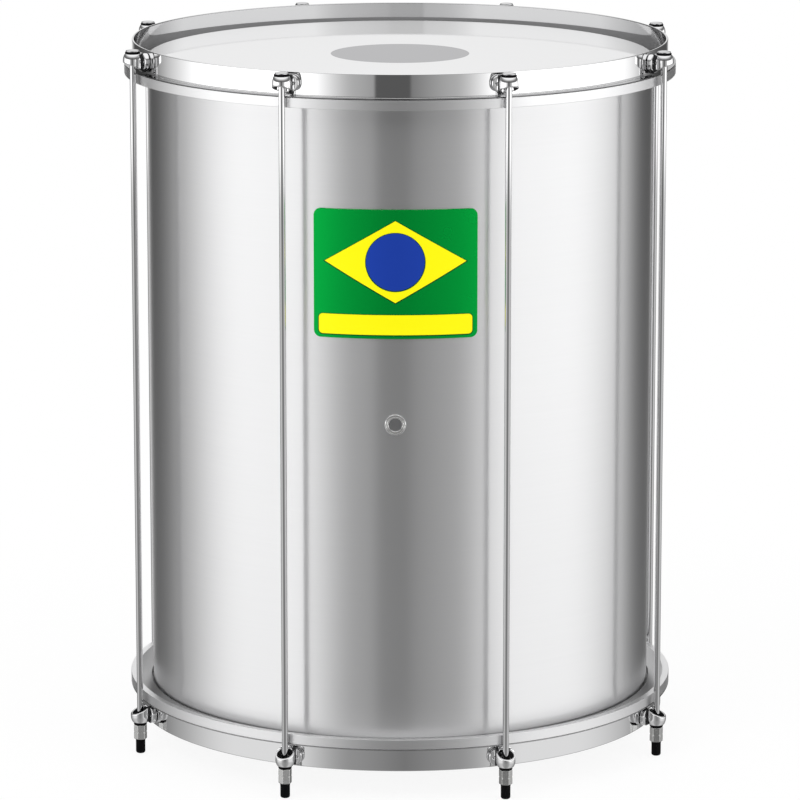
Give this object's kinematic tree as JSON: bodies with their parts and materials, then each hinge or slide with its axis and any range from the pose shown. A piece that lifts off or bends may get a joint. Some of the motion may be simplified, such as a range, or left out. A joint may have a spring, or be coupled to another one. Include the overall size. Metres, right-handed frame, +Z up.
{
  "type": "surdo drum",
  "caption": "Deep two-headed bass drum with an aluminium shell, chromed hoops and full-length tension rods held by hollow claws, tuned by nuts at the foot.",
  "frame": {"origin": "on the floor under the drum, on the axis of the shell, at the tips of the rod caps", "axes": "+Z up along the axis of the shell, -Y towards the front of the drum with its badge and vent"},
  "size_m": [0.4754, 0.4754, 0.6161],
  "materials": {
    "shell_aluminium": "satin, brushed round the shell",
    "flesh_hoop_aluminium": "satin extrusion",
    "hoop_chrome": "polished chrome plate",
    "rod_chrome": "polished chrome plate",
    "claw_chrome": "chrome plate on a casting",
    "satin_steel": "satin zinc plate",
    "head_film": "smooth white film with a plain grey centre disc",
    "black_washer": "black nylon",
    "cap_rubber": "black rubber",
    "badge_enamel": "printed plate: green field, yellow rhombus, plain blue disc, bare yellow strip"
  },
  "bodies": {
    "root": {"shell": "shell_aluminium", "vent_grommet": "satin_steel", "badge": "badge_enamel", "top_head": "head_film", "bottom_head": "head_film", "top_flesh_hoop": "flesh_hoop_aluminium", "bottom_flesh_hoop": "flesh_hoop_aluminium", "top_hoop": "hoop_chrome", "bottom_hoop": "hoop_chrome", "tension_rod_1": "rod_chrome", "top_claw_1": "claw_chrome", "tension_rod_2": "rod_chrome", "top_claw_2": "claw_chrome", "tension_rod_3": "rod_chrome", "top_claw_3": "claw_chrome", "tension_rod_4": "rod_chrome", "top_claw_4": "claw_chrome", "tension_rod_5": "rod_chrome", "top_claw_5": "claw_chrome", "tension_rod_6": "rod_chrome", "top_claw_6": "claw_chrome", "tension_rod_7": "rod_chrome", "top_claw_7": "claw_chrome", "tension_rod_8": "rod_chrome", "top_claw_8": "claw_chrome"},
    "claw_set_1": {"bottom_claw_1": "claw_chrome", "bottom_washer_1": "black_washer", "rubber_cap_1": "cap_rubber"},
    "nut_1": {"tuning_nut_1": "satin_steel"},
    "claw_set_2": {"bottom_claw_2": "claw_chrome", "bottom_washer_2": "black_washer", "rubber_cap_2": "cap_rubber"},
    "nut_2": {"tuning_nut_2": "satin_steel"},
    "claw_set_3": {"bottom_claw_3": "claw_chrome", "bottom_washer_3": "black_washer", "rubber_cap_3": "cap_rubber"},
    "nut_3": {"tuning_nut_3": "satin_steel"},
    "claw_set_4": {"bottom_claw_4": "claw_chrome", "bottom_washer_4": "black_washer", "rubber_cap_4": "cap_rubber"},
    "nut_4": {"tuning_nut_4": "satin_steel"},
    "claw_set_5": {"bottom_claw_5": "claw_chrome", "bottom_washer_5": "black_washer", "rubber_cap_5": "cap_rubber"},
    "nut_5": {"tuning_nut_5": "satin_steel"},
    "claw_set_6": {"bottom_claw_6": "claw_chrome", "bottom_washer_6": "black_washer", "rubber_cap_6": "cap_rubber"},
    "nut_6": {"tuning_nut_6": "satin_steel"},
    "claw_set_7": {"bottom_claw_7": "claw_chrome", "bottom_washer_7": "black_washer", "rubber_cap_7": "cap_rubber"},
    "nut_7": {"tuning_nut_7": "satin_steel"},
    "claw_set_8": {"bottom_claw_8": "claw_chrome", "bottom_washer_8": "black_washer", "rubber_cap_8": "cap_rubber"},
    "nut_8": {"tuning_nut_8": "satin_steel"}
  },
  "joints": [
    {"name": "claw_travel_1", "type": "slide", "parent": "root", "child": "claw_set_1", "axis": [0, 0, 1], "range_m": [-0.005, 0]},
    {"name": "nut_turn_1", "type": "hinge", "parent": "claw_set_1", "child": "nut_1", "pos_m": [0.0928, -0.22404, 0.0191], "axis": [0, 0, 1], "range_deg": [-1800, 0]},
    {"name": "claw_travel_2", "type": "slide", "parent": "root", "child": "claw_set_2", "axis": [0, 0, 1], "range_m": [-0.005, 0]},
    {"name": "nut_turn_2", "type": "hinge", "parent": "claw_set_2", "child": "nut_2", "pos_m": [0.22404, -0.0928, 0.0191], "axis": [0, 0, 1], "range_deg": [-1800, 0]},
    {"name": "claw_travel_3", "type": "slide", "parent": "root", "child": "claw_set_3", "axis": [0, 0, 1], "range_m": [-0.005, 0]},
    {"name": "nut_turn_3", "type": "hinge", "parent": "claw_set_3", "child": "nut_3", "pos_m": [0.22404, 0.0928, 0.0191], "axis": [0, 0, 1], "range_deg": [-1800, 0]},
    {"name": "claw_travel_4", "type": "slide", "parent": "root", "child": "claw_set_4", "axis": [0, 0, 1], "range_m": [-0.005, 0]},
    {"name": "nut_turn_4", "type": "hinge", "parent": "claw_set_4", "child": "nut_4", "pos_m": [0.0928, 0.22404, 0.0191], "axis": [0, 0, 1], "range_deg": [-1800, 0]},
    {"name": "claw_travel_5", "type": "slide", "parent": "root", "child": "claw_set_5", "axis": [0, 0, 1], "range_m": [-0.005, 0]},
    {"name": "nut_turn_5", "type": "hinge", "parent": "claw_set_5", "child": "nut_5", "pos_m": [-0.0928, 0.22404, 0.0191], "axis": [0, 0, 1], "range_deg": [-1800, 0]},
    {"name": "claw_travel_6", "type": "slide", "parent": "root", "child": "claw_set_6", "axis": [0, 0, 1], "range_m": [-0.005, 0]},
    {"name": "nut_turn_6", "type": "hinge", "parent": "claw_set_6", "child": "nut_6", "pos_m": [-0.22404, 0.0928, 0.0191], "axis": [0, 0, 1], "range_deg": [-1800, 0]},
    {"name": "claw_travel_7", "type": "slide", "parent": "root", "child": "claw_set_7", "axis": [0, 0, 1], "range_m": [-0.005, 0]},
    {"name": "nut_turn_7", "type": "hinge", "parent": "claw_set_7", "child": "nut_7", "pos_m": [-0.22404, -0.0928, 0.0191], "axis": [0, 0, 1], "range_deg": [-1800, 0]},
    {"name": "claw_travel_8", "type": "slide", "parent": "root", "child": "claw_set_8", "axis": [0, 0, 1], "range_m": [-0.005, 0]},
    {"name": "nut_turn_8", "type": "hinge", "parent": "claw_set_8", "child": "nut_8", "pos_m": [-0.0928, -0.22404, 0.0191], "axis": [0, 0, 1], "range_deg": [-1800, 0]}
  ],
  "couplings": [
    {"joint": "nut_turn_1", "follows": "claw_travel_1", "rad_per_m": 6283.2},
    {"joint": "nut_turn_2", "follows": "claw_travel_2", "rad_per_m": 6283.2},
    {"joint": "nut_turn_3", "follows": "claw_travel_3", "rad_per_m": 6283.2},
    {"joint": "nut_turn_4", "follows": "claw_travel_4", "rad_per_m": 6283.2},
    {"joint": "nut_turn_5", "follows": "claw_travel_5", "rad_per_m": 6283.2},
    {"joint": "nut_turn_6", "follows": "claw_travel_6", "rad_per_m": 6283.2},
    {"joint": "nut_turn_7", "follows": "claw_travel_7", "rad_per_m": 6283.2},
    {"joint": "nut_turn_8", "follows": "claw_travel_8", "rad_per_m": 6283.2}
  ]
}
